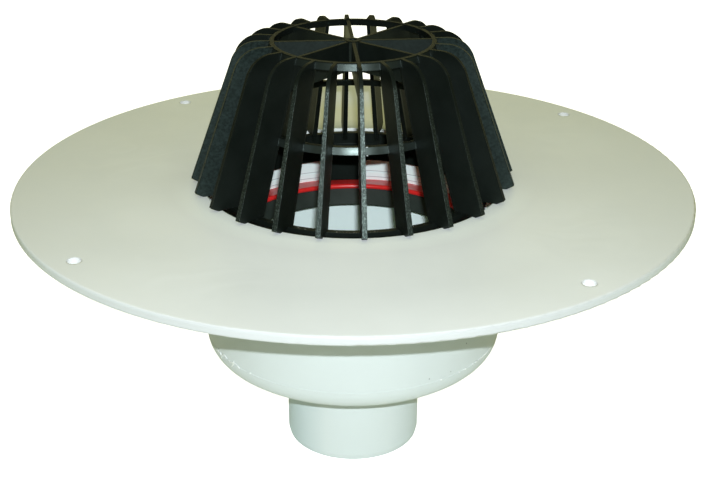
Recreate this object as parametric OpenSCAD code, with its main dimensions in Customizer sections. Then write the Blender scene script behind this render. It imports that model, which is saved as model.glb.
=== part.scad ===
// Flat roof drain: a welded PVC plate and pot with a DN 100 spigot, a clamped lip seal in
// the throat and a loose ribbed leaf basket. Origin: centre of the spigot's open end, +Z up.

/* [Plate] */
// Diameter of the round connecting plate
plate_d = 527; // [420:1:600]
// Thickness of the plate
plate_t = 6.8; // [4:0.1:10]
// Rounding of the plate's rim, above and below
plate_edge_r = 1.6; // [0.5:0.1:1.8]
// Rounding of the plate's upper edge at the throat
mouth_edge_r = 0.8; // [0.4:0.1:1.5]
// Number of fixing holes
hole_count = 4; // [3:1:8]
// Diameter of a fixing hole
hole_d = 10; // [5:0.5:14]
// Distance of a fixing hole's centre from the plate's rim
hole_inset = 18.5; // [12:0.5:40]
// Turn of the first fixing hole from the front, towards +X
hole_turn = 39.3; // [0:0.1:90]

/* [Pot] */
// Height of the plate's top over the bottom of the pot
pot_depth = 144.4; // [130:0.1:200]
// Outer diameter of the pot's lower part
pot_d = 240; // [232:0.5:260]
// Wall of the pot's lower part
pot_wall = 6; // [4:0.1:8]
// Outer radius of the pot's rounded bottom corner
corner_r = 18.8; // [12:0.1:30]
// Bore of the throat that the basket hangs in
throat_d = 234.8; // [228:0.1:240]
// Wall of the throat
throat_wall = 4.6; // [3:0.1:7]
// Depth of the seal's seat under the plate's top
seat_depth = 54; // [52:0.5:64]
// Fall of the pot's floor towards the spigot, in degrees
floor_fall = 5; // [0:0.5:10]
// Width of the support collar under the plate, outside the throat's wall
collar_w = 13; // [8:0.5:25]
// Thickness of the support collar
collar_t = 5; // [3:0.1:8]
// Width of the seat that the seal rests on
seat_w = 8; // [6:0.1:10]

/* [Spigot] */
// Outer diameter of the outlet spigot, to fit DN 100 pipe sockets
spigot_d = 110; // [75:1:125]
// Wall of the spigot
spigot_wall = 3.4; // [2.5:0.1:6]
// Length of the spigot under the pot's bottom
spigot_len = 83.6; // [50:0.1:150]
// Length of the lead-in chamfer at the spigot's end
chamfer_len = 4; // [2:0.5:10]
// Depth of that chamfer
chamfer_depth = 1; // [0.5:0.1:2]
// Rounding where the spigot leaves the pot, outside and inside
spigot_root_r = 6; // [2:0.5:10]

/* [Seal] */
// Height of the seal's clamped base at the throat's wall
seal_base_h = 4.2; // [3:0.1:7]
// Reach of the sealing lip's free edge inwards from the throat's wall
lip_reach = 27.4; // [22:0.1:36]
// Height that the lip hangs down from the retaining ring
lip_drop = 11.4; // [8:0.1:20]
// Thickness of the rubber lip
lip_t = 2.4; // [1.5:0.1:4]
// Radial width of the retaining ring, from the throat's wall to its bore
ring_w = 19.4; // [14:0.1:22]
// Height of the retaining ring's rounded nose
ring_nose_h = 4.2; // [2.4:0.1:5]
// Height of the retaining ring where it meets the throat
ring_rim_h = 2.4; // [1.5:0.1:3]
// Rise of the ring's underside from the throat's wall to its nose
ring_rise = 0.4; // [0:0.1:3]
// Height of the snap bead in the throat that holds the ring down
bead_h = 0.6; // [0.3:0.1:0.8]
// Length of the snap bead along the throat
bead_len = 7; // [3:0.5:10]

/* [Basket] */
// Number of ribs, three for each spoke
rib_count = 24; // [12:3:36]
// Thickness of a rib and of a spoke at the top
rib_t = 2.7; // [2:0.1:4]
// Thickness of a rib at the plate's level
rib_foot_t = 3.9; // [2:0.1:5]
// Turn of the first rib from the front, towards +X
rib_turn = 3.8; // [0:0.1:15]
// Height of the ribs over the plate
basket_h = 111.9; // [90:0.1:150]
// Reach of the ribs' outer tips over the plate, past the throat's bore
rib_reach = 9.3; // [7:0.1:16]
// Height of those tips over the plate
rib_foot_z = 3.3; // [2:0.1:8]
// Reach of the ribs' flat feet on the plate, past the throat's bore
seat_reach = 3.6; // [2:0.1:5]
// Lean of the ribs inwards from the vertical, in degrees
rib_lean = 20; // [14:0.5:22]
// Radius of the ribs' rounded shoulder
shoulder_r = 21.5; // [15:0.5:30]
// Distance of the ribs' inner edges inside the collar's rim, at the plate's level
rib_heel = 3.2; // [1:0.1:6]
// Height of a spoke's web
spoke_h = 22.8; // [10:0.1:30]
// Drop of the spokes' and the top ring's upper faces below the ribs' tops
top_drop = 0.3; // [0.1:0.1:4]
// Radius of the hub in the middle of the spokes
hub_r = 6; // [4.5:0.5:12]
// Radial thickness of the top and middle rings
hoop_t = 3.3; // [2:0.1:5]
// Height of the top and middle rings
hoop_h = 5.4; // [3:0.1:10]
// Height of the middle ring's lower face over the plate
mid_hoop_z = 50; // [30:1:70]

/* [Basket collar] */
// Gap between the collar's rim and the throat
rim_gap = 8; // [3:0.1:10]
// Radial width of the rim
rim_w = 4.8; // [3.5:0.1:6]
// Height of the rim over the plate's top
rim_rise = 0.3; // [0:0.1:1]
// Depth of the rim's band
rim_h = 9; // [6:0.5:14]
// Depth of the collar's lower edge under the plate's top
collar_depth = 23; // [18:0.5:30]
// Taper of the collar inwards over its whole depth
collar_taper = 2.6; // [0:0.1:5]
// Wall of the collar and its tabs
collar_wall = 3; // [2:0.1:4]
// Number of tabs on the collar
tab_count = 4; // [2:1:8]
// Width of a tab
tab_w = 34; // [15:1:40]
// Rounding at a tab's roots
tab_root_r = 3; // [1:0.5:16]
// Gap between a tab's end and the top of the retaining ring
tab_gap = 5; // [0.5:0.1:8]

/* [Hidden] */
$fn = 96;

// Heights over the origin
pot_bottom_z = spigot_len;
plate_top_z = pot_bottom_z + pot_depth;
plate_low_z = plate_top_z - plate_t;
seat_z = plate_top_z - seat_depth;
hole_pcd = plate_d - 2 * hole_inset;

// Pot
throat_r = throat_d / 2;
throat_out_r = throat_r + throat_wall;
seat_in_r = throat_r - seat_w;
seat_t = 3;
pot_r = pot_d / 2;
pot_in_r = pot_r - pot_wall;
parting_z = pot_bottom_z + corner_r;
parting_bead = 0.35;
// Height over which the wall passes from the throat to the lower part
neck_h = 10;
// Bevel between the support collar and the throat's wall
collar_bevel = 2;
spigot_r = spigot_d / 2;
bore_r = spigot_r - spigot_wall;
floor_z = pot_bottom_z + pot_wall;
inner_corner_r = corner_r - pot_wall;
corner_c_r = pot_in_r - inner_corner_r;
corner_c_z = floor_z + (corner_c_r - bore_r - spigot_root_r) * tan(floor_fall)
    + inner_corner_r / cos(floor_fall);

// Seal and its retaining ring
ring_low_z = seat_z + seal_base_h;
ring_rim_z = ring_low_z + ring_rim_h;
ring_bore_r = throat_r - ring_w;
nose_r = ring_nose_h / 2;
nose_low_z = ring_low_z + ring_rise;
nose_c_r = ring_bore_r + nose_r;
ring_top_z = nose_low_z + ring_nose_h;
// The snap bead's height over the ring's rim, and the lengths of its lower and upper ramps
bead_gap = 1.2;
bead_catch = 0.6;
bead_lead = 1;
bead_low_z = ring_rim_z + bead_gap;
bead_top_z = bead_low_z + bead_len;
lip_bore_r = throat_r - lip_reach;
lip_low_z = nose_low_z - lip_drop;
// Height and slant of the lip's free edge
lip_edge = 0.8;
lip_slant = 0.3;

// Basket
lean = tan(rib_lean);
rib_foot_r = throat_r + rib_reach;
rib_seat_r = throat_r + seat_reach;
rib_tip_z = plate_top_z + rib_foot_z;
rim_r = throat_r - rim_gap;
rim_in_r = rim_r - rim_w;
basket_top_z = plate_top_z + basket_h;
shoulder_z = basket_top_z - shoulder_r;
// A rib's outer and inner edges at any height, and the shoulder's centre, tangent to it
function outer_edge_r(z) = rib_foot_r - lean * (z - rib_tip_z);
function inner_edge_r(z) = rim_in_r - rib_heel - lean * (z - plate_top_z);
shoulder_c_r = outer_edge_r(shoulder_z) - shoulder_r / cos(rib_lean);
rib_step = 360 / rib_count;
hoop_top_z = basket_top_z - top_drop;
mid_z = plate_top_z + mid_hoop_z;
// How far the middle and top rings stand inside the ribs' inner edges
mid_inset = 1.5;
top_inset = 1;
top_in_r = inner_edge_r(hoop_top_z) - top_inset;
// Radius at which the ribs end over the top ring, and the sinking of the spokes' tops
rib_end_r = top_in_r + 0.8 * hoop_t;
spoke_sink = 0.4;
spoke_top_z = hoop_top_z - spoke_sink;
spoke_low_z = spoke_top_z - spoke_h;
hub_drop = 0.5;
dimple_depth = 1;

// Collar of the basket
rim_top_z = plate_top_z + rim_rise;
rim_low_z = plate_top_z - rim_h;
// The ribs' gussets end this far over the rim band's lower edge
gusset_rise = 3;
gusset_z = rim_low_z + gusset_rise;
collar_low_z = plate_top_z - collar_depth;
ledge = 0.9;
// Depth of the rim's upright outer face
rim_face_h = 3.3;
tab_low_z = ring_top_z + tab_gap;
tab_flare = tab_w / 2 + tab_root_r;

module connecting_plate() {
    color([0.86, 0.88, 0.83])
    difference() {
        rotate_extrude() plate_section();
        for (i = [0 : hole_count - 1])
            rotate(hole_turn + i * 360 / hole_count)
                translate([0, -hole_pcd / 2, plate_low_z - 1])
                    cylinder(d = hole_d, h = plate_t + 2);
    }
}

// Half section of the plate, with rounded edges at its rim and at the throat
module plate_section() {
    rim_r0 = plate_d / 2;
    difference() {
        translate([throat_r, plate_low_z]) square([rim_r0 - throat_r, plate_t]);
        translate([rim_r0 - plate_edge_r, plate_top_z - plate_edge_r])
            corner_cut(plate_edge_r, 0, 90);
        translate([rim_r0 - plate_edge_r, plate_low_z + plate_edge_r])
            corner_cut(plate_edge_r, -90, 0);
        translate([throat_r + mouth_edge_r, plate_top_z - mouth_edge_r])
            corner_cut(mouth_edge_r, 90, 180);
    }
}

// What a rounding of radius r takes off a corner, drawn from the rounding's centre: the
// sector between two directions, less the round itself, which crosses the sides a hair
// past them so that no sliver is left
module corner_cut(r, from, to) {
    mid = (from + to) / 2;
    difference() {
        polygon([
            [0, 0], 2 * r * [cos(from), sin(from)],
            3 * r * [cos(mid), sin(mid)], 2 * r * [cos(to), sin(to)]]);
        circle(r = r + 0.01);
    }
}

module drain_pot() {
    color([0.88, 0.93, 0.91])
    rotate_extrude() difference() {
        pot_outside();
        pot_inside();
    }
}

// Outline of the pot and spigot, solid, from the axis outwards
module pot_outside() {
    root_c_r = spigot_r + spigot_root_r;
    root_c_z = pot_bottom_z - spigot_root_r;
    collar_low = plate_low_z - collar_t;
    difference() {
        polygon([
            // Throat with the support collar under the plate, narrowing to the pot
            [0, plate_low_z], [throat_out_r + collar_w, plate_low_z],
            [throat_out_r + collar_w, collar_low], [throat_out_r + collar_bevel, collar_low],
            [throat_out_r, collar_low - collar_bevel], [throat_out_r, seat_z], [pot_r, seat_z - neck_h],
            // Raised line where the two halves of the mould meet
            [pot_r, parting_z + parting_bead], [pot_r + parting_bead, parting_z],
            [pot_r, parting_z - parting_bead],
            [pot_r, pot_bottom_z], [root_c_r, pot_bottom_z], [root_c_r, root_c_z],
            // Spigot with its lead-in chamfer
            [spigot_r, root_c_z], [spigot_r, chamfer_len], [spigot_r - chamfer_depth, 0], [0, 0]]);
        translate([pot_r - corner_r, parting_z - parting_bead]) corner_cut(corner_r, -90, 0);
        translate([root_c_r, root_c_z]) circle(r = spigot_root_r);
    }
}

// Outline of the room inside, from the axis outwards
module pot_inside() {
    root_c_r = bore_r + spigot_root_r;
    root_c_z = floor_z - spigot_root_r;
    difference() {
        polygon([
            [0, plate_top_z], [throat_r, plate_top_z],
            // Snap bead that the retaining ring is pressed past
            [throat_r, bead_top_z], [throat_r - bead_h, bead_top_z - bead_lead],
            [throat_r - bead_h, bead_low_z + bead_catch], [throat_r, bead_low_z],
            // Seat of the seal
            [throat_r, seat_z], [seat_in_r, seat_z], [seat_in_r, seat_z - seat_t],
            [pot_in_r, seat_z - seat_t - neck_h],
            // Wall, sloping floor and the mouth of the spigot
            [pot_in_r, floor_z + (pot_in_r - root_c_r) * tan(floor_fall)], [root_c_r, floor_z],
            [root_c_r, root_c_z], [bore_r, root_c_z], [bore_r, -1], [0, -1]]);
        translate([corner_c_r, corner_c_z]) corner_cut(inner_corner_r, floor_fall - 90, 0);
        translate([root_c_r, root_c_z]) circle(r = spigot_root_r);
    }
}

module lip_seal() {
    color([0.10, 0.11, 0.11])
    rotate_extrude() polygon([
        [throat_r, seat_z], [throat_r, ring_low_z], [nose_c_r, nose_low_z],
        [lip_bore_r, lip_low_z + lip_edge], [lip_bore_r + lip_slant, lip_low_z],
        [lip_bore_r + lip_t, lip_low_z - lip_slant],
        [nose_c_r + lip_t, seat_z]]);
}

module retaining_ring() {
    color([0.78, 0.07, 0.08])
    rotate_extrude() {
        polygon([
            [throat_r, ring_low_z], [throat_r, ring_rim_z],
            [nose_c_r, ring_top_z], [nose_c_r, nose_low_z]]);
        translate([nose_c_r, nose_low_z + nose_r]) circle(r = nose_r);
    }
}

module leaf_basket() {
    color([0.09, 0.10, 0.09]) {
        for (i = [0 : rib_count - 1])
            rotate(rib_turn + i * rib_step) basket_rib(i % 3 == 0);
        hoop(mid_z, mid_inset);
        hoop(hoop_top_z - hoop_h, top_inset);
        hub();
        collar();
    }
}

// A rib on the front side: a plate with a leaning edge and a round shoulder and, for every
// third one, a spoke's web that reaches in to the hub. It grows thinner towards the top.
module basket_rib(with_spoke) {
    intersection() {
        rotate([90, 0, -90]) translate([0, 0, -rib_foot_t])
            linear_extrude(2 * rib_foot_t) difference() {
                polygon(concat(rib_foot(), with_spoke ? spoke_end() : rib_end()));
                translate([shoulder_c_r, shoulder_z]) corner_cut(shoulder_r, rib_lean, 90);
            }
        rotate([90, 0, 0]) linear_extrude(rib_foot_r + 1) rib_taper();
    }
}

// Thickness of a rib at any height, and its taper as seen from the front
function rib_t_at(z) = rib_foot_t - (rib_foot_t - rib_t) * (z - plate_top_z) / basket_h;
module rib_taper() {
    low_z = gusset_z - 1;
    high_z = basket_top_z + 1;
    polygon([
        [-rib_t_at(low_z) / 2, low_z], [rib_t_at(low_z) / 2, low_z],
        [rib_t_at(high_z) / 2, high_z], [-rib_t_at(high_z) / 2, high_z]]);
}

// A rib's outline from its inner foot, through its seat on the plate, to its upper corner
function rib_foot() = [
    [inner_edge_r(plate_top_z), plate_top_z], [rim_in_r - ledge / 2, gusset_z],
    [rim_in_r + rim_w / 2, gusset_z], [rim_in_r + rim_w / 2, plate_top_z],
    [rib_seat_r, plate_top_z], [rib_foot_r, rib_tip_z],
    [outer_edge_r(basket_top_z), basket_top_z], [rib_end_r, basket_top_z],
    [rib_end_r, spoke_top_z]];
// Its end inside the top ring, and its end at the hub
function rib_end() = [
    [top_in_r + hoop_t / 2, spoke_top_z],
    [inner_edge_r(basket_top_z - hoop_h), basket_top_z - hoop_h]];
function spoke_end() = [
    [0.8 * hub_r, spoke_top_z], [0.8 * hub_r, spoke_low_z],
    [inner_edge_r(spoke_low_z), spoke_low_z]];

// A ring that leans inwards like the ribs, set inside their inner edges
module hoop(low_z, inset) {
    low_r = inner_edge_r(low_z) - inset;
    top_r = low_r - lean * hoop_h;
    rotate_extrude() polygon([
        [low_r, low_z], [low_r + hoop_t, low_z],
        [top_r + hoop_t, low_z + hoop_h], [top_r, low_z + hoop_h]]);
}

// Hub with a shallow dimple in its top, a little longer than the spokes' webs
module hub() {
    low_z = spoke_low_z - hub_drop;
    translate([0, 0, low_z]) difference() {
        cylinder(r = hub_r, h = hoop_top_z - low_z);
        translate([0, 0, hoop_top_z - low_z - dimple_depth])
            cylinder(r = hub_r / 2, h = 2 * dimple_depth);
    }
}

// Collar inside the throat, cut back between its tabs
module collar() {
    difference() {
        rotate_extrude() collar_section();
        difference() {
            translate([0, 0, tab_low_z - 1])
                cylinder(r = rim_r, h = collar_low_z - tab_low_z + 1);
            for (i = [0 : tab_count - 1])
                rotate(rib_turn + i * 360 / tab_count)
                    rotate([90, 0, 0]) linear_extrude(rim_r) tab_outline();
        }
    }
}

// Half section of the collar: a rim band, a small ledge and a tapering skirt
module collar_section() {
    skirt_in_r = rim_in_r - ledge;
    drop = (rim_low_z - tab_low_z) * collar_taper / (collar_depth - rim_h);
    polygon([
        [rim_in_r, rim_top_z], [rim_r, rim_top_z], [rim_r, rim_top_z - rim_face_h],
        [skirt_in_r + collar_wall, rim_low_z], [skirt_in_r + collar_wall - drop, tab_low_z],
        [skirt_in_r - drop, tab_low_z], [skirt_in_r, rim_low_z],
        [rim_in_r - ledge / 3, rim_low_z]]);
}

// Outline of a tab, with a flared root on each side
module tab_outline() {
    difference() {
        translate([-tab_flare, tab_low_z - 2])
            square([2 * tab_flare, collar_low_z - tab_low_z + 3]);
        for (side = [-1, 1]) {
            translate([side * tab_flare, collar_low_z - tab_root_r + 0.1])
                circle(r = tab_root_r);
            translate([side * tab_flare - tab_root_r, tab_low_z - 3])
                square([2 * tab_root_r, collar_low_z - tab_root_r - tab_low_z + 3]);
        }
    }
}

connecting_plate();
drain_pot();
lip_seal();
retaining_ring();
leaf_basket();
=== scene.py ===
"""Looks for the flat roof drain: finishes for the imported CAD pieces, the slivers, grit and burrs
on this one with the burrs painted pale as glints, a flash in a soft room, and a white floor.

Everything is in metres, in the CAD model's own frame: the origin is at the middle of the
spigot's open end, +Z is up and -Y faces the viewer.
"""

import math

import bpy
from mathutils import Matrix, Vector


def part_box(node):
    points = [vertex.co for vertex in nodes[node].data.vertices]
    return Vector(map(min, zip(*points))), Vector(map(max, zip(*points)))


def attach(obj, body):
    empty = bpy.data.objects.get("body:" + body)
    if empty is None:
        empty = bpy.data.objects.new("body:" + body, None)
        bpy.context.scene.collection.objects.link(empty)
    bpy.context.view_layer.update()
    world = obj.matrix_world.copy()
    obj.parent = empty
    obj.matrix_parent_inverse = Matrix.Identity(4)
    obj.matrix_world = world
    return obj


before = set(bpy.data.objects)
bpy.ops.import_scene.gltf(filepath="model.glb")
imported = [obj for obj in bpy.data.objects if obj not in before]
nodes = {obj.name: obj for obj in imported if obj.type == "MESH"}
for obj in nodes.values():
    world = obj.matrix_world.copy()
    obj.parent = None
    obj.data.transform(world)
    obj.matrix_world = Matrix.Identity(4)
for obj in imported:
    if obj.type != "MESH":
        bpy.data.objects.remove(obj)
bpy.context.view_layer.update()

PLATE_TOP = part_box("connecting_plate")[1].z
BASKET_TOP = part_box("leaf_basket")[1].z
POT_RADIUS = 0.12
POT_BOTTOM = PLATE_TOP - 0.1444  # where the spigot leaves the pot
BEAD_EDGES = (PLATE_TOP - 0.0392, PLATE_TOP - 0.0444)  # the snap bead's ends in the throat
PARTING_LINE_Z = PLATE_TOP - 0.1256  # where the pot's moulds met
RIB_LEAN = math.tan(math.radians(20.0))
RIB_FACE_RADIUS = 0.1267  # of the ribs' outer faces, at the rise over the plate that follows
RIB_FACE_RISE = 0.0033
# Radius at which those leaning faces would cut the plane of the spigot's end
RIB_EDGE = RIB_FACE_RADIUS + RIB_LEAN * (PLATE_TOP + RIB_FACE_RISE)

# ---------------------------------------------------------------- camera and light

SENSOR_WIDTH = 36.0  # in millimetres, like the lens
LENS = 65.48
VIEW_DISTANCE = 1.038  # from the camera to the point that it looks at
VIEW_DOWN = math.radians(24.2)  # how far it looks down
AIM_ASIDE = 0.0004  # the point's place off the axis
AIM_BELOW_PLATE = 0.0542
FLASH_RISE = 0.042  # the flash sits this far above the lens
FLASH_ASIDE = 0.012  # and this far to its right
FLASH_WIDTH = 0.02
FLASH_HEIGHT = 0.008
FLASH_WATTS = 8.8
FLASH_COLOUR = (0.94, 1.0, 1.09)
ROOM_COLOUR = (0.92, 1.0, 0.61)
CEILING_STRENGTH = 0.44  # soft light from above
CEILING_RISE = 0.8  # a direction that rises this much is all ceiling
HORIZON_STRENGTH = 0.06  # what the room gives from the sides and below


def aim(obj, target):
    """Turns a camera or light so that it looks at target."""
    direction = Vector(target) - obj.location
    obj.rotation_euler = direction.to_track_quat("-Z", "Y").to_euler()


def add_camera():
    data = bpy.data.cameras.new("camera")
    data.sensor_width = SENSOR_WIDTH
    data.lens = LENS
    camera = bpy.data.objects.new("camera", data)
    bpy.context.scene.collection.objects.link(camera)
    target = Vector((AIM_ASIDE, 0.0, PLATE_TOP - AIM_BELOW_PLATE))
    back, rise = VIEW_DISTANCE * math.cos(VIEW_DOWN), VIEW_DISTANCE * math.sin(VIEW_DOWN)
    camera.location = target + Vector((0.0, -back, rise))
    aim(camera, target)
    bpy.context.scene.camera = camera
    return camera


def add_flash(camera):
    data = bpy.data.lights.new("flash", "AREA")
    data.shape = "RECTANGLE"
    data.size = FLASH_WIDTH
    data.size_y = FLASH_HEIGHT
    data.energy = FLASH_WATTS
    data.color = FLASH_COLOUR
    flash = bpy.data.objects.new("flash", data)
    bpy.context.scene.collection.objects.link(flash)
    flash.location = camera.location + Vector((FLASH_ASIDE, 0.0, FLASH_RISE))
    aim(flash, (0.0, 0.0, PLATE_TOP))


def add_room():
    """A soft room: yellow-green light from the ceiling, darker towards the horizon and below."""
    world = bpy.data.worlds.new("soft_room")
    world.use_nodes = True
    tree = world.node_tree
    background = tree.nodes["Background"]
    coords = tree.nodes.new("ShaderNodeTexCoord")
    split = tree.nodes.new("ShaderNodeSeparateXYZ")
    rise = tree.nodes.new("ShaderNodeMapRange")
    rise.interpolation_type = "SMOOTHSTEP"
    rise.inputs["From Min"].default_value = 0.0
    rise.inputs["From Max"].default_value = CEILING_RISE
    rise.inputs["To Min"].default_value = HORIZON_STRENGTH
    rise.inputs["To Max"].default_value = CEILING_STRENGTH
    tree.links.new(coords.outputs["Generated"], split.inputs["Vector"])
    tree.links.new(split.outputs["Z"], rise.inputs["Value"])
    tree.links.new(rise.outputs["Result"], background.inputs["Strength"])
    background.inputs["Color"].default_value = (*ROOM_COLOUR, 1.0)
    bpy.context.scene.world = world


add_flash(add_camera())
add_room()
bpy.context.scene.view_settings.view_transform = "Standard"
bpy.context.scene.view_settings.look = "None"

# ---------------------------------------------------------------- materials

FORWARDS = (0.0, -1.0, 0.0)
LEFTWARDS = (-1.0, 0.0, 0.0)


def grey(value):
    return (value, value, value)


def around(radius, bearing, z):
    """The point at a bearing from the front, in degrees towards +X."""
    turn = math.radians(bearing)
    return Vector((radius * math.sin(turn), -radius * math.cos(turn), z))


class Material:
    """A procedural material on one Principled shader, fed by object coordinates."""

    def __init__(self, name):
        self.material = bpy.data.materials.new(name)
        self.material.use_nodes = True
        self.tree = self.material.node_tree
        self.shader = self.tree.nodes["Principled BSDF"]
        self.coords = self.tree.nodes.new("ShaderNodeTexCoord").outputs["Object"]

    def set(self, **values):
        for name, value in values.items():
            self.shader.inputs[name.replace("_", " ")].default_value = value

    def link(self, source, target):
        self.tree.links.new(source, target)

    def feed(self, name, source):
        self.link(source, self.shader.inputs[name])

    def noise(self, scale, detail=4.0, roughness=0.55, stretch=None, distortion=0.0):
        node = self.tree.nodes.new("ShaderNodeTexNoise")
        node.inputs["Distortion"].default_value = distortion
        node.inputs["Scale"].default_value = scale
        node.inputs["Detail"].default_value = detail
        node.inputs["Roughness"].default_value = roughness
        source = self.coords
        if stretch is not None:
            mapping = self.tree.nodes.new("ShaderNodeMapping")
            mapping.inputs["Scale"].default_value = stretch
            self.link(source, mapping.inputs["Vector"])
            source = mapping.outputs["Vector"]
        self.link(source, node.inputs["Vector"])
        return node.outputs["Fac"]

    def ramp(self, source, stops):
        node = self.tree.nodes.new("ShaderNodeValToRGB")
        elements = node.color_ramp.elements
        while len(elements) < len(stops):
            elements.new(0.5)
        for element, (place, colour) in zip(elements, stops):
            element.position = place
            element.color = (*colour, 1.0)
        self.link(source, node.inputs["Fac"])
        return node.outputs["Color"]

    def between(self, noise, low, high, spread=0.15):
        """From low to high as a noise goes through its middle."""
        return self.ramp(noise, [(0.5 - spread, low), (0.5 + spread, high)])

    def blend(self, first, second, share):
        """first where share is 0 and second, a link or a colour, where it is 1."""
        node = self.tree.nodes.new("ShaderNodeMix")
        node.data_type = "RGBA"
        share_in, first_in, second_in = (node.inputs[n] for n in (0, 6, 7))
        self.link(share, share_in)
        self.link(first, first_in)
        if isinstance(second, tuple):
            second_in.default_value = (*second, 1.0)
        else:
            self.link(second, second_in)
        return node.outputs[2]

    def math(self, how, first, second=0.0):
        node = self.tree.nodes.new("ShaderNodeMath")
        node.operation = how
        for socket, value in zip(node.inputs, (first, second)):
            if isinstance(value, (int, float)):
                socket.default_value = value
            else:
                self.link(value, socket)
        return node.outputs["Value"]

    def joined(self, how, first, *others):
        for other in others:
            first = self.math(how, first, other)
        return first

    def plus(self, *values):
        return self.joined("ADD", *values)

    def minus(self, *values):
        return self.joined("SUBTRACT", *values)

    def times(self, *values):
        return self.joined("MULTIPLY", *values)

    def most(self, *values):
        return self.joined("MAXIMUM", *values)

    def without(self, zone, loss):
        """1 outside a zone, and less by the loss in it."""
        return self.minus(1.0, self.times(zone, loss))

    def vector_math(self, how, source, second, result):
        node = self.tree.nodes.new("ShaderNodeVectorMath")
        node.operation = how
        self.link(source, node.inputs[0])
        if second is not None:
            node.inputs[1].default_value = second
        return node.outputs[result]

    def height(self):
        split = self.tree.nodes.new("ShaderNodeSeparateXYZ")
        self.link(self.coords, split.inputs["Vector"])
        return split.outputs["Z"]

    def radius(self):
        """Distance from the drain's axis."""
        flat = self.vector_math("MULTIPLY", self.coords, (1.0, 1.0, 0.0), "Vector")
        return self.vector_math("LENGTH", flat, None, "Value")

    def along(self, direction):
        """Distance from the middle along a direction."""
        return self.vector_math("DOT_PRODUCT", self.coords, direction, "Value")

    def distance(self, place):
        return self.vector_math("DISTANCE", self.coords, place, "Value")

    def step(self, value, start, end):
        """0 before start and 1 past end, whichever of them is higher."""
        node = self.tree.nodes.new("ShaderNodeMapRange")
        node.inputs["From Min"].default_value = start
        node.inputs["From Max"].default_value = end
        self.link(value, node.inputs["Value"])
        return node.outputs["Result"]

    def band(self, value, middle, half_width):
        """1 at the middle, down to 0 at half_width from it."""
        return self.step(self.math("ABSOLUTE", self.minus(value, middle)), half_width, 0.0)

    def where(self, measures, stretches):
        """1 where each measure is past its stretch, given as (measure, 0 here, 1 here)."""
        return self.times(*(self.step(measures[n], start, end) for n, start, end in stretches))

    def shaded(self, colour, measures, shades):
        """Lays shades over a colour, each given as (colour, share, stretches)."""
        for shade, share, stretches in shades:
            colour = self.blend(colour, shade, self.times(self.where(measures, stretches), share))
        return colour

    def rounded(self, radius):
        """Normals of a surface whose edges are rounded a little."""
        node = self.tree.nodes.new("ShaderNodeBevel")
        node.samples = 6
        node.inputs["Radius"].default_value = radius
        return node.outputs["Normal"]

    def bump(self, source, height, strength, below=None):
        node = self.tree.nodes.new("ShaderNodeBump")
        node.inputs["Distance"].default_value = height
        node.inputs["Strength"].default_value = strength
        self.link(source, node.inputs["Height"])
        if below is not None:
            self.link(below, node.inputs["Normal"])
        return node.outputs["Normal"]


# Several shades below stand in for light and reflections that the scene's own lights don't
# give. They are fixed to the drain, so they stay where they are when it is seen from elsewhere.

# ---- plate

# Shares of swirl at the levels of its noise: two faint pale bands
SWIRL_BANDS = [
    (0.34, grey(0.0)), (0.42, grey(0.16)), (0.50, grey(0.0)), (0.60, grey(0.12)), (0.68, grey(0.0)),
]
SWIRL_COLOUR = (0.92, 0.935, 0.96)
# Where the swirls show: x, y and how far they reach, and the share of that where they are full
WIPED_PLACES = [
    (-0.20, 0.04, 0.07), (-0.10, -0.165, 0.06), (0.165, -0.10, 0.07), (0.19, 0.09, 0.05),
]
WIPED_FULL = 0.45
PLATE_SHADES = [
    # Painted light: paler round the front of the basket, and palest at its feet
    ((0.96, 0.97, 0.975), 0.45, [("radius", 0.205, 0.145), ("forwards", 0.0, 0.08)]),
    ((0.97, 1.0, 0.985), 1.0, [("radius", 0.144, 0.129), ("forwards", 0.0, 0.08)]),
    # Painted shade: darker flanks
    ((0.73, 0.745, 0.765), 1.0, [("sideways", 0.16, 0.26)]),
    # Painted light and shade: a darker, yellow strip behind the basket where the flash is shaded, and
    # painted shade where it meets the throat
    (
        (0.755, 0.745, 0.605),
        1.0,
        [("radius", 0.20, 0.17), ("sideways", 0.06, 0.045), ("forwards", -0.06, -0.10)],
    ),
    # painted shade at the throat's edge behind the basket
    ((0.33, 0.40, 0.33), 0.55, [("radius", 0.141, 0.119), ("forwards", -0.06, -0.10)]),
    # Painted highlight: a pale mouth where the throat's edge faces the flash
    ((0.93, 1.0, 0.92), 1.0, [("radius", 0.1190, 0.1184)]),
    # Painted shade: the rim toned down under the flash, and darker in front
    ((0.76, 0.80, 0.80), 1.0, [("radius", 0.2622, 0.2632)]),
    ((0.59, 0.61, 0.61), 1.0, [("radius", 0.2622, 0.2632), ("forwards", 0.16, 0.245)]),
]


def plate_pvc():
    """Matt grey-white sheet, faintly cloudy, with the swirls that a wiping cloth left, and painted
    light and shade laid over it.
    """
    m = Material("plate_pvc")
    colour = m.between(m.noise(9.0, 5.0), (0.775, 0.79, 0.80), (0.815, 0.83, 0.845))
    swirl = m.ramp(m.noise(11.0, 0.6, 0.4, distortion=2.2), SWIRL_BANDS)
    for x, y, reach in WIPED_PLACES:
        patch = m.step(m.distance((x, y, PLATE_TOP)), reach, WIPED_FULL * reach)
        colour = m.blend(colour, SWIRL_COLOUR, m.times(patch, swirl))
    measures = {
        "radius": m.radius(),
        "sideways": m.math("ABSOLUTE", m.along(LEFTWARDS)),
        "forwards": m.along(FORWARDS),
    }
    m.feed("Base Color", m.shaded(colour, measures, PLATE_SHADES))
    m.feed("Roughness", m.between(m.noise(60.0), grey(0.38), grey(0.5), 0.2))
    m.feed("Normal", m.bump(m.noise(700.0), 0.0001, 0.25, m.rounded(0.0020)))
    m.set(Specular_IOR_Level=0.4)
    return m.material


# ---- pot

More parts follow.
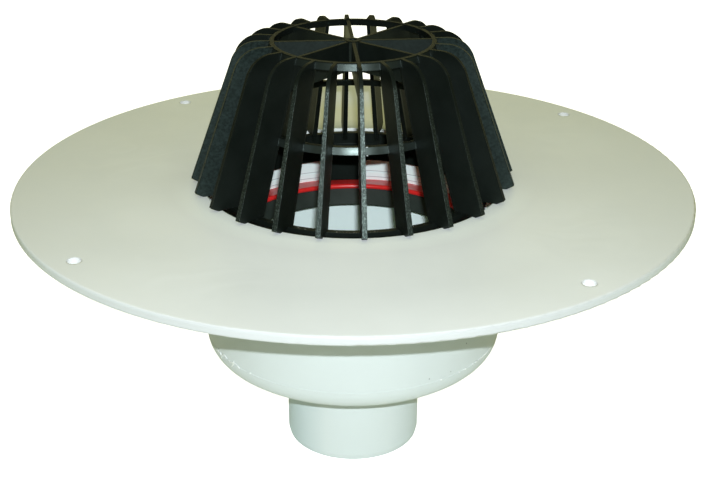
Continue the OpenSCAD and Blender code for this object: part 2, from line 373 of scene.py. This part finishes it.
ON_SPIGOT = ("height", POT_BOTTOM, POT_BOTTOM - 0.004)
IN_POT = [("radius", 0.1188, 0.1182), ("height", 0.1035, 0.106)]
POT_SHADES = [
    # Paler spigot, and painted shade on its sides: darker and bluer, more so on the left
    ((0.73, 0.785, 0.775), 1.0, [ON_SPIGOT]),
    ((0.56, 0.68, 0.70), 1.0, [ON_SPIGOT, ("leftwards", 0.022, 0.056)]),
    ((0.56, 0.68, 0.70), 0.35, [ON_SPIGOT, ("leftwards", -0.03, -0.056)]),
    # Painted light: a paler inside
    ((0.885, 1.0, 0.955), 1.0, IN_POT),
]
# Painted shade: thin dark lines along the snap bead's edges in the throat
BEAD_SHADE_HALF_WIDTH = 0.0005
BEAD_SHADE_COLOUR = (0.42, 0.43, 0.43)
# Dark specks on the pot: bearing in degrees, depth under the plate's top, radius
POT_SPECKS = [
    (46.3, 0.1035, 0.0007), (28.7, 0.1218, 0.0006), (38.4, 0.1220, 0.0005), (-62.0, 0.1229, 0.0008),
]
SPECK_COLOUR = (0.09, 0.10, 0.09)
SPECK_FULL = 0.4  # share of a speck's radius that is all dark


def pot_pvc():
    """Pale blue-grey pot, with painted light and shade on the spigot and inside, painted shade lines
    at the snap bead's edges, and a few dark specks.
    """
    m = Material("pot_pvc")
    height = m.height()
    measures = {"height": height, "radius": m.radius(), "leftwards": m.along(LEFTWARDS)}
    skin = m.between(m.noise(14.0), (0.64, 0.69, 0.68), (0.665, 0.715, 0.705), 0.2)
    skin = m.shaded(skin, measures, POT_SHADES)
    inside = m.where(measures, IN_POT)
    # painted shade along the snap bead's edges, inside the pot only
    for bead_z in BEAD_EDGES:
        line = m.band(height, bead_z, BEAD_SHADE_HALF_WIDTH)
        skin = m.blend(skin, BEAD_SHADE_COLOUR, m.times(line, inside))
    for bearing, below, size in POT_SPECKS:
        place = around(POT_RADIUS, bearing, PLATE_TOP - below)
        skin = m.blend(skin, SPECK_COLOUR, m.step(m.distance(place), size, SPECK_FULL * size))
    m.feed("Base Color", skin)
    m.feed("Roughness", m.between(m.noise(90.0), grey(0.35), grey(0.45), 0.2))
    m.feed("Normal", m.bump(m.noise(40.0, stretch=(1.0, 1.0, 6.0)), 0.0003, 0.3))
    m.set(Specular_IOR_Level=0.4, Diffuse_Roughness=0.3)
    return m.material


# ---- basket

OUTER_FACES = [("leaning", RIB_EDGE - 0.0007, RIB_EDGE - 0.0003)]
BEHIND_RIBS = [("leaning", RIB_EDGE - 0.0235, RIB_EDGE - 0.0245)]  # rings and webs inside
TOP_FACE = [("height", BASKET_TOP - 0.0012, BASKET_TOP - 0.0009)]
SHOULDER = [("height", BASKET_TOP - 0.014, BASKET_TOP - 0.004), ("radius", 0.0655, 0.0665)]
IN_THROAT = [("height", PLATE_TOP - 0.008, PLATE_TOP - 0.010)]
ON_RIBS = [("radius", 0.064, 0.068)]
IN_FRONT = [("forwards", 0.065, 0.095)]
AT_BACK = [("forwards", -0.03, -0.06)]
# Level bands on the basket: middle height and half width
MID_RING_TOP = (PLATE_TOP + 0.0556, 0.0006)
MID_RING_FACE = (PLATE_TOP + 0.0527, 0.004)
COLLAR_TOP = (PLATE_TOP + 0.0004, 0.0008)

# Ribs painted greyer than the rest, a painted sheen: bearing, and whether the one opposite is too
SHEEN_RIBS = [(93.8, True), (78.8, False), (-71.2, False)]
SHEEN_INSIDE = 0.2  # share of the painted sheen nearer the axis than ON_RIBS
SHEEN_SIDEWAYS = (0.0026, 0.0022)  # where it ends and is full, from the rib's middle plane
SHEEN_OUTWARDS = (0.05, 0.06)  # where it starts and is full on a rib whose opposite has no painted sheen

# Specular levels: all over, what is added, and the shares taken off
SHINE = 0.25
SHINE_BEHIND_RIBS = 0.2
SHINE_MID_RING = 0.15
SPARKLE = 1.05
SPARKLE_LEVELS = (0.50, 0.60)  # of the grain, where sparkle starts and is full
POLISH = 0.24
MATT_FACES = 0.13
DULLED = 0.75
DULLED_AT_BACK = 0.5

ROUGHNESS = 0.45
SMOOTHER_BEHIND_RIBS = 0.08
SMOOTHER_MID_RING = 0.06
ROUGHNESS_SPREAD = 0.12
RELIEF = 0.12
RELIEF_OUTER_FACES = 0.5


def basket_colour(m, measures, mottle):
    """Black with a greenish cast, greyer and mottled on a few ribs as a painted sheen."""
    colour = m.between(m.noise(30.0), (0.0042, 0.0060, 0.0046), (0.0078, 0.0105, 0.0086))
    sheen_grey = m.between(mottle, (0.008, 0.0125, 0.011), (0.020, 0.031, 0.028), 0.14)
    sheen_reach = m.plus(m.times(m.where(measures, ON_RIBS), 1.0 - SHEEN_INSIDE), SHEEN_INSIDE)
    for bearing, both_ways in SHEEN_RIBS:
        turn = math.radians(bearing)
        off_plane = m.math("ABSOLUTE", m.along((math.cos(turn), math.sin(turn), 0.0)))
        share = m.times(m.step(off_plane, *SHEEN_SIDEWAYS), sheen_reach)
        if not both_ways:
            outwards = m.along((math.sin(turn), -math.cos(turn), 0.0))
            share = m.times(share, m.step(outwards, *SHEEN_OUTWARDS))
        # painted sheen: the greyer tone laid on those ribs
        colour = m.blend(colour, sheen_grey, share)
    return colour


def basket_plastic():
    """Black plastic: speckled with polish on the outer faces in front, glossier on the rings
    and webs behind the ribs, and dull on top, down in the throat and at the back."""
    m = Material("basket_plastic")
    height, radius = m.height(), m.radius()
    measures = {
        "height": height,
        "radius": radius,
        "leaning": m.plus(radius, m.times(height, RIB_LEAN)),
        "forwards": m.along(FORWARDS),
    }
    grain = m.noise(1000.0, 2.0, 0.7)
    mottle = m.noise(480.0, 3.0, 0.7)
    m.feed("Base Color", basket_colour(m, measures, mottle))

    outer = m.where(measures, OUTER_FACES)
    inner = m.where(measures, BEHIND_RIBS)
    on_top = m.where(measures, TOP_FACE)
    ring_tops = m.most(m.band(height, *MID_RING_TOP), m.band(height, *COLLAR_TOP))
    dull = m.most(
        on_top,
        m.where(measures, SHOULDER),
        m.where(measures, IN_THROAT),
        m.times(ring_tops, inner),
    )
    inner = m.times(inner, m.minus(1.0, on_top))
    mid_ring = m.times(inner, m.band(height, *MID_RING_FACE))

    sparkle = m.times(m.step(grain, *SPARKLE_LEVELS), SPARKLE)
    polish = m.times(m.plus(sparkle, POLISH), m.where(measures, IN_FRONT))
    polish = m.times(m.minus(polish, MATT_FACES), outer)
    shine = m.plus(polish, m.times(inner, SHINE_BEHIND_RIBS), SHINE)
    shine = m.plus(shine, m.times(mid_ring, SHINE_MID_RING))
    shine = m.times(shine, m.without(dull, DULLED))
    shine = m.times(shine, m.without(m.where(measures, AT_BACK), DULLED_AT_BACK))
    m.feed("Specular IOR Level", shine)

    smoother = (m.times(inner, SMOOTHER_BEHIND_RIBS), m.times(mid_ring, SMOOTHER_MID_RING))
    uneven = m.times(m.minus(mottle, 0.5), ROUGHNESS_SPREAD)
    m.feed("Roughness", m.plus(m.minus(ROUGHNESS, *smoother), uneven))
    relief = m.times(grain, m.plus(m.times(outer, RELIEF_OUTER_FACES), RELIEF))
    m.feed("Normal", m.bump(relief, 0.0003, 1.0, m.rounded(0.0005)))
    m.set(Specular_Tint=(0.80, 1.0, 0.90, 1.0))
    return m.material


# ---- seal, ring and small pieces


def seal_rubber():
    m = Material("seal_rubber")
    m.feed("Base Color", m.between(m.noise(40.0), (0.017, 0.026, 0.021), (0.028, 0.040, 0.033)))
    m.feed("Normal", m.bump(m.noise(900.0), 0.0001, 0.3))
    m.set(Roughness=0.48)
    return m.material


def ring_plastic():
    m = Material("ring_plastic")
    m.feed("Base Color", m.between(m.noise(25.0), (0.76, 0.018, 0.018), (0.84, 0.026, 0.025)))
    m.feed("Normal", m.bump(m.noise(600.0), 0.0001, 0.2))
    m.set(Roughness=0.3)
    return m.material


MOTTLE_DARK = 0.86


def plain_finish(name, colour, roughness):
    """One colour with a little mottling."""
    m = Material(name)
    dark = tuple(MOTTLE_DARK * c for c in colour)
    m.feed("Base Color", m.between(m.noise(500.0), dark, colour))
    m.set(Roughness=roughness)
    return m.material


FINISHES = {
    "connecting_plate": plate_pvc,
    "drain_pot": pot_pvc,
    "lip_seal": seal_rubber,
    "retaining_ring": ring_plastic,
    "leaf_basket": basket_plastic,
}
for name, finish in FINISHES.items():
    node = nodes[name]
    node.data.materials.clear()
    node.data.materials.append(finish())

# ---------------------------------------------------------------- slivers, grit and burrs, painted as glints

# Curled slivers left on the pot's parting line: each is a run of (bearing, rise) points
SLIVER_RUNS = [
    [(-64.0, -0.0004), (-62.6, 0.0010), (-61.2, 0.0004), (-60.2, 0.0012), (-59.4, -0.0006)],
    [(-60.0, -0.0038), (-59.2, -0.0020), (-58.4, 0.0004), (-57.2, 0.0024), (-55.8, 0.0022),
     (-54.6, 0.0012)],
    [(-53.6, 0.0008), (-52.4, 0.0002), (-51.0, 0.0010), (-49.4, 0.0018), (-48.4, 0.0016)],
    [(-51.6, -0.0030), (-50.8, -0.0010), (-50.2, 0.0012), (-50.0, 0.0034)],
    [(-48.2, 0.0016), (-47.2, 0.0004), (-46.4, -0.0002)],
    [(-41.2, 0.0002), (-40.4, 0.0008)],
    [(65.4, 0.0001), (63.0, 0.0003), (60.6, 0.0), (58.2, 0.0003), (56.0, 0.0001), (54.2, 0.0003)],
    [(53.4, 0.0002), (52.0, 0.0003)],
    [(50.9, 0.0), (50.2, 0.0005)],
    [(46.4, 0.0), (45.2, 0.0003)],
    [(43.0, 0.0002), (42.2, 0.0001)],
    [(34.2, 0.0), (33.2, 0.0002)],
]
SLIVER_RADIUS = 0.1204  # from the drain's axis
SLIVER_THICK = 0.0006
SLIVER_TIP = 0.45  # share of that thickness at a sliver's very ends
SLIVER_SIDES = 6
POINTS_PER_STRETCH = 3

# Grit on the collar's rim: radius, bearing, height over the plate's top, size
GRIT = [
    (0.1072, -21.4, 0.0003, 0.0011), (0.1082, -20.6, 0.0003, 0.0007),
    (0.1080, -18.6, 0.0003, 0.0012), (0.1062, -17.4, 0.0003, 0.0006),
    (0.1084, -6.1, 0.0003, 0.0014), (0.1078, -5.0, 0.0003, 0.0007),
    (0.1086, -3.6, 0.0003, 0.0006), (0.1082, -2.4, 0.0003, 0.0008),
    (0.1088, -1.2, 0.0003, 0.0006), (0.1084, 0.4, 0.0003, 0.0008),
    (0.1088, 1.3, 0.0003, 0.0006), (0.1086, 6.6, 0.0003, 0.0007),
    (0.1084, 8.3, 0.0003, 0.0010), (0.1088, 9.2, 0.0003, 0.0006),
    (0.1068, 24.0, 0.0003, 0.0006),
]
# Burrs on the middle ring's edges beside the front rib, painted near-white as glints, given in the
# same way
BURRS = [(0.0834, 6.9, 0.0554, 0.0020), (0.0854, 6.9, 0.0497, 0.0022)]
# A grain's shape, in shares of its size
GRAIN_TOP = 0.3
GRAIN_BOTTOM = -0.1
GRAIN_MIDDLE = 0.08  # height of its corners
GRAIN_REACH = 0.42
GRAIN_UNEVEN = 0.12
GRAIN_WAVE = 2.3  # radians of that unevenness from one corner to the next
GRAIN_WAVE_TURN = 5.0  # and how much a grain's turn shifts it
GRAIN_SQUASH = 0.7
GRAIN_SIDES = 7
GRAIN_TURN = 0.9  # radians from one grain to the next


def add_piece(name, vertices, faces, finish):
    mesh = bpy.data.meshes.new(name)
    mesh.from_pydata(vertices, [], faces)
    mesh.validate()
    mesh.materials.append(finish)
    piece = bpy.data.objects.new(name, mesh)
    bpy.context.scene.collection.objects.link(piece)
    for polygon in mesh.polygons:
        polygon.use_smooth = True
    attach(piece, "root")


def join_meshes(meshes):
    """One list of vertices and one of faces from several of each."""
    vertices, faces = [], []
    for more, sides in meshes:
        faces += [tuple(len(vertices) + v for v in side) for side in sides]
        vertices += more
    return vertices, faces


def sliver_mesh(points):
    """A closed thin strand along points, thickest in its middle."""
    vertices, faces = [], []
    last = len(points) - 1
    for i, point in enumerate(points):
        along = (points[min(i + 1, last)] - points[max(i - 1, 0)]).normalized()
        out = Vector((point.x, point.y, 0.0)).normalized()
        side = along.cross(out).normalized()
        swell = math.sin(math.pi * (i + 0.5) / (last + 1))
        radius = SLIVER_THICK * (SLIVER_TIP + (1.0 - SLIVER_TIP) * swell)
        for k in range(SLIVER_SIDES):
            turn = 2.0 * math.pi * k / SLIVER_SIDES
            vertices.append(point + radius * (math.cos(turn) * out + math.sin(turn) * side))
    for i in range(last):
        for k in range(SLIVER_SIDES):
            a, b = i * SLIVER_SIDES + k, i * SLIVER_SIDES + (k + 1) % SLIVER_SIDES
            faces.append((a, b, b + SLIVER_SIDES, a + SLIVER_SIDES))
    faces.append(tuple(reversed(range(SLIVER_SIDES))))
    faces.append(tuple(range(last * SLIVER_SIDES, (last + 1) * SLIVER_SIDES)))
    return vertices, faces


def run_points(run):
    """Points along a run, with each stretch of it split evenly."""
    places = []
    for (a, rise_a), (b, rise_b) in zip(run, run[1:]):
        for t in range(POINTS_PER_STRETCH):
            bearing = a + (b - a) * t / POINTS_PER_STRETCH
            z = PARTING_LINE_Z + rise_a + (rise_b - rise_a) * t / POINTS_PER_STRETCH
            places.append((bearing, z))
    places.append((run[-1][0], PARTING_LINE_Z + run[-1][1]))
    return [around(SLIVER_RADIUS, bearing, z) for bearing, z in places]


def add_slivers():
    finish = plain_finish("sliver_pvc", (0.97, 1.0, 0.985), 0.3)
    vertices, faces = join_meshes(sliver_mesh(run_points(run)) for run in SLIVER_RUNS)
    add_piece("parting_slivers", vertices, faces, finish)


def grain_mesh(centre, size, turn):
    """A flattened crumb: a ring of uneven corners between a top and a bottom."""
    vertices = [centre + Vector((0.0, 0.0, z * size)) for z in (GRAIN_TOP, GRAIN_BOTTOM)]
    for k in range(GRAIN_SIDES):
        angle = turn + 2.0 * math.pi * k / GRAIN_SIDES
        reach = size * (GRAIN_REACH + GRAIN_UNEVEN * math.sin(GRAIN_WAVE * k + GRAIN_WAVE_TURN * turn))
        x, y = reach * math.cos(angle), GRAIN_SQUASH * reach * math.sin(angle)
        vertices.append(centre + Vector((x, y, GRAIN_MIDDLE * size)))
    faces = []
    for k in range(GRAIN_SIDES):
        a, b = 2 + k, 2 + (k + 1) % GRAIN_SIDES
        faces += [(0, a, b), (1, b, a)]
    return vertices, faces


def add_grains(name, grains, finish):
    vertices, faces = join_meshes(
        grain_mesh(around(radius, bearing, PLATE_TOP + rise), size, GRAIN_TURN * i)
        for i, (radius, bearing, rise, size) in enumerate(grains)
    )
    add_piece(name, vertices, faces, finish)


add_slivers()
add_grains("rim_grit", GRIT, plain_finish("grit", (0.50, 0.47, 0.38), 0.8))
# Painted highlight: the burrs are pale grains that stand for glints
add_grains("ring_burrs", BURRS, plain_finish("burr_glint", (0.93, 1.0, 0.97), 0.25))

# ---------------------------------------------------------------- floor

PLANE_SIZE = 12.0
PLANE_ROUGHNESS = 0.9
FLOOR_Z = -0.0002
FLOOR_COLOUR = grey(0.9)
FLOOR_GLOW = 1.0  # keeps the floor white where the flash is shaded
TABLE_Z = -0.0004
TABLE_COLOUR = (0.72, 0.74, 0.64)
BACKDROP_COLOUR = grey(0.5)
BACKDROP_GLOW = 0.5
BACKDROP_GLOW_COLOUR = (1.0, 0.9, 0.3)
BACKDROP_PLACE = (0.0, 1.6, 0.8)
BACKDROP_SCALE = (0.4, 0.13, 1.0)


def add_plane(name, z, colour, glow, glow_colour=(1.0, 1.0, 1.0)):
    bpy.ops.mesh.primitive_plane_add(size=PLANE_SIZE, location=(0.0, 0.0, z))
    plane = bpy.context.object
    plane.name = name
    m = Material(name)
    m.set(Base_Color=(*colour, 1.0), Roughness=PLANE_ROUGHNESS)
    m.set(Emission_Color=(*glow_colour, 1.0), Emission_Strength=glow)
    plane.data.materials.append(m.material)
    return plane


# The floor that shows is nearly white, and the table under it gives back what a plain
# table would, so that the pot isn't lit from below by a glowing floor.
floor = add_plane("floor", FLOOR_Z, FLOOR_COLOUR, FLOOR_GLOW)
floor.visible_diffuse = False
floor.visible_glossy = False
floor.visible_shadow = False
table = add_plane("table", TABLE_Z, TABLE_COLOUR, 0.0)
table.visible_camera = False
# A yellowish glow behind the drain, which only lights it and shows in what it reflects
backdrop = add_plane("backdrop", 0.0, BACKDROP_COLOUR, BACKDROP_GLOW, BACKDROP_GLOW_COLOUR)
backdrop.rotation_euler.x = math.radians(90.0)
backdrop.location = BACKDROP_PLACE
backdrop.scale = BACKDROP_SCALE
backdrop.visible_camera = False
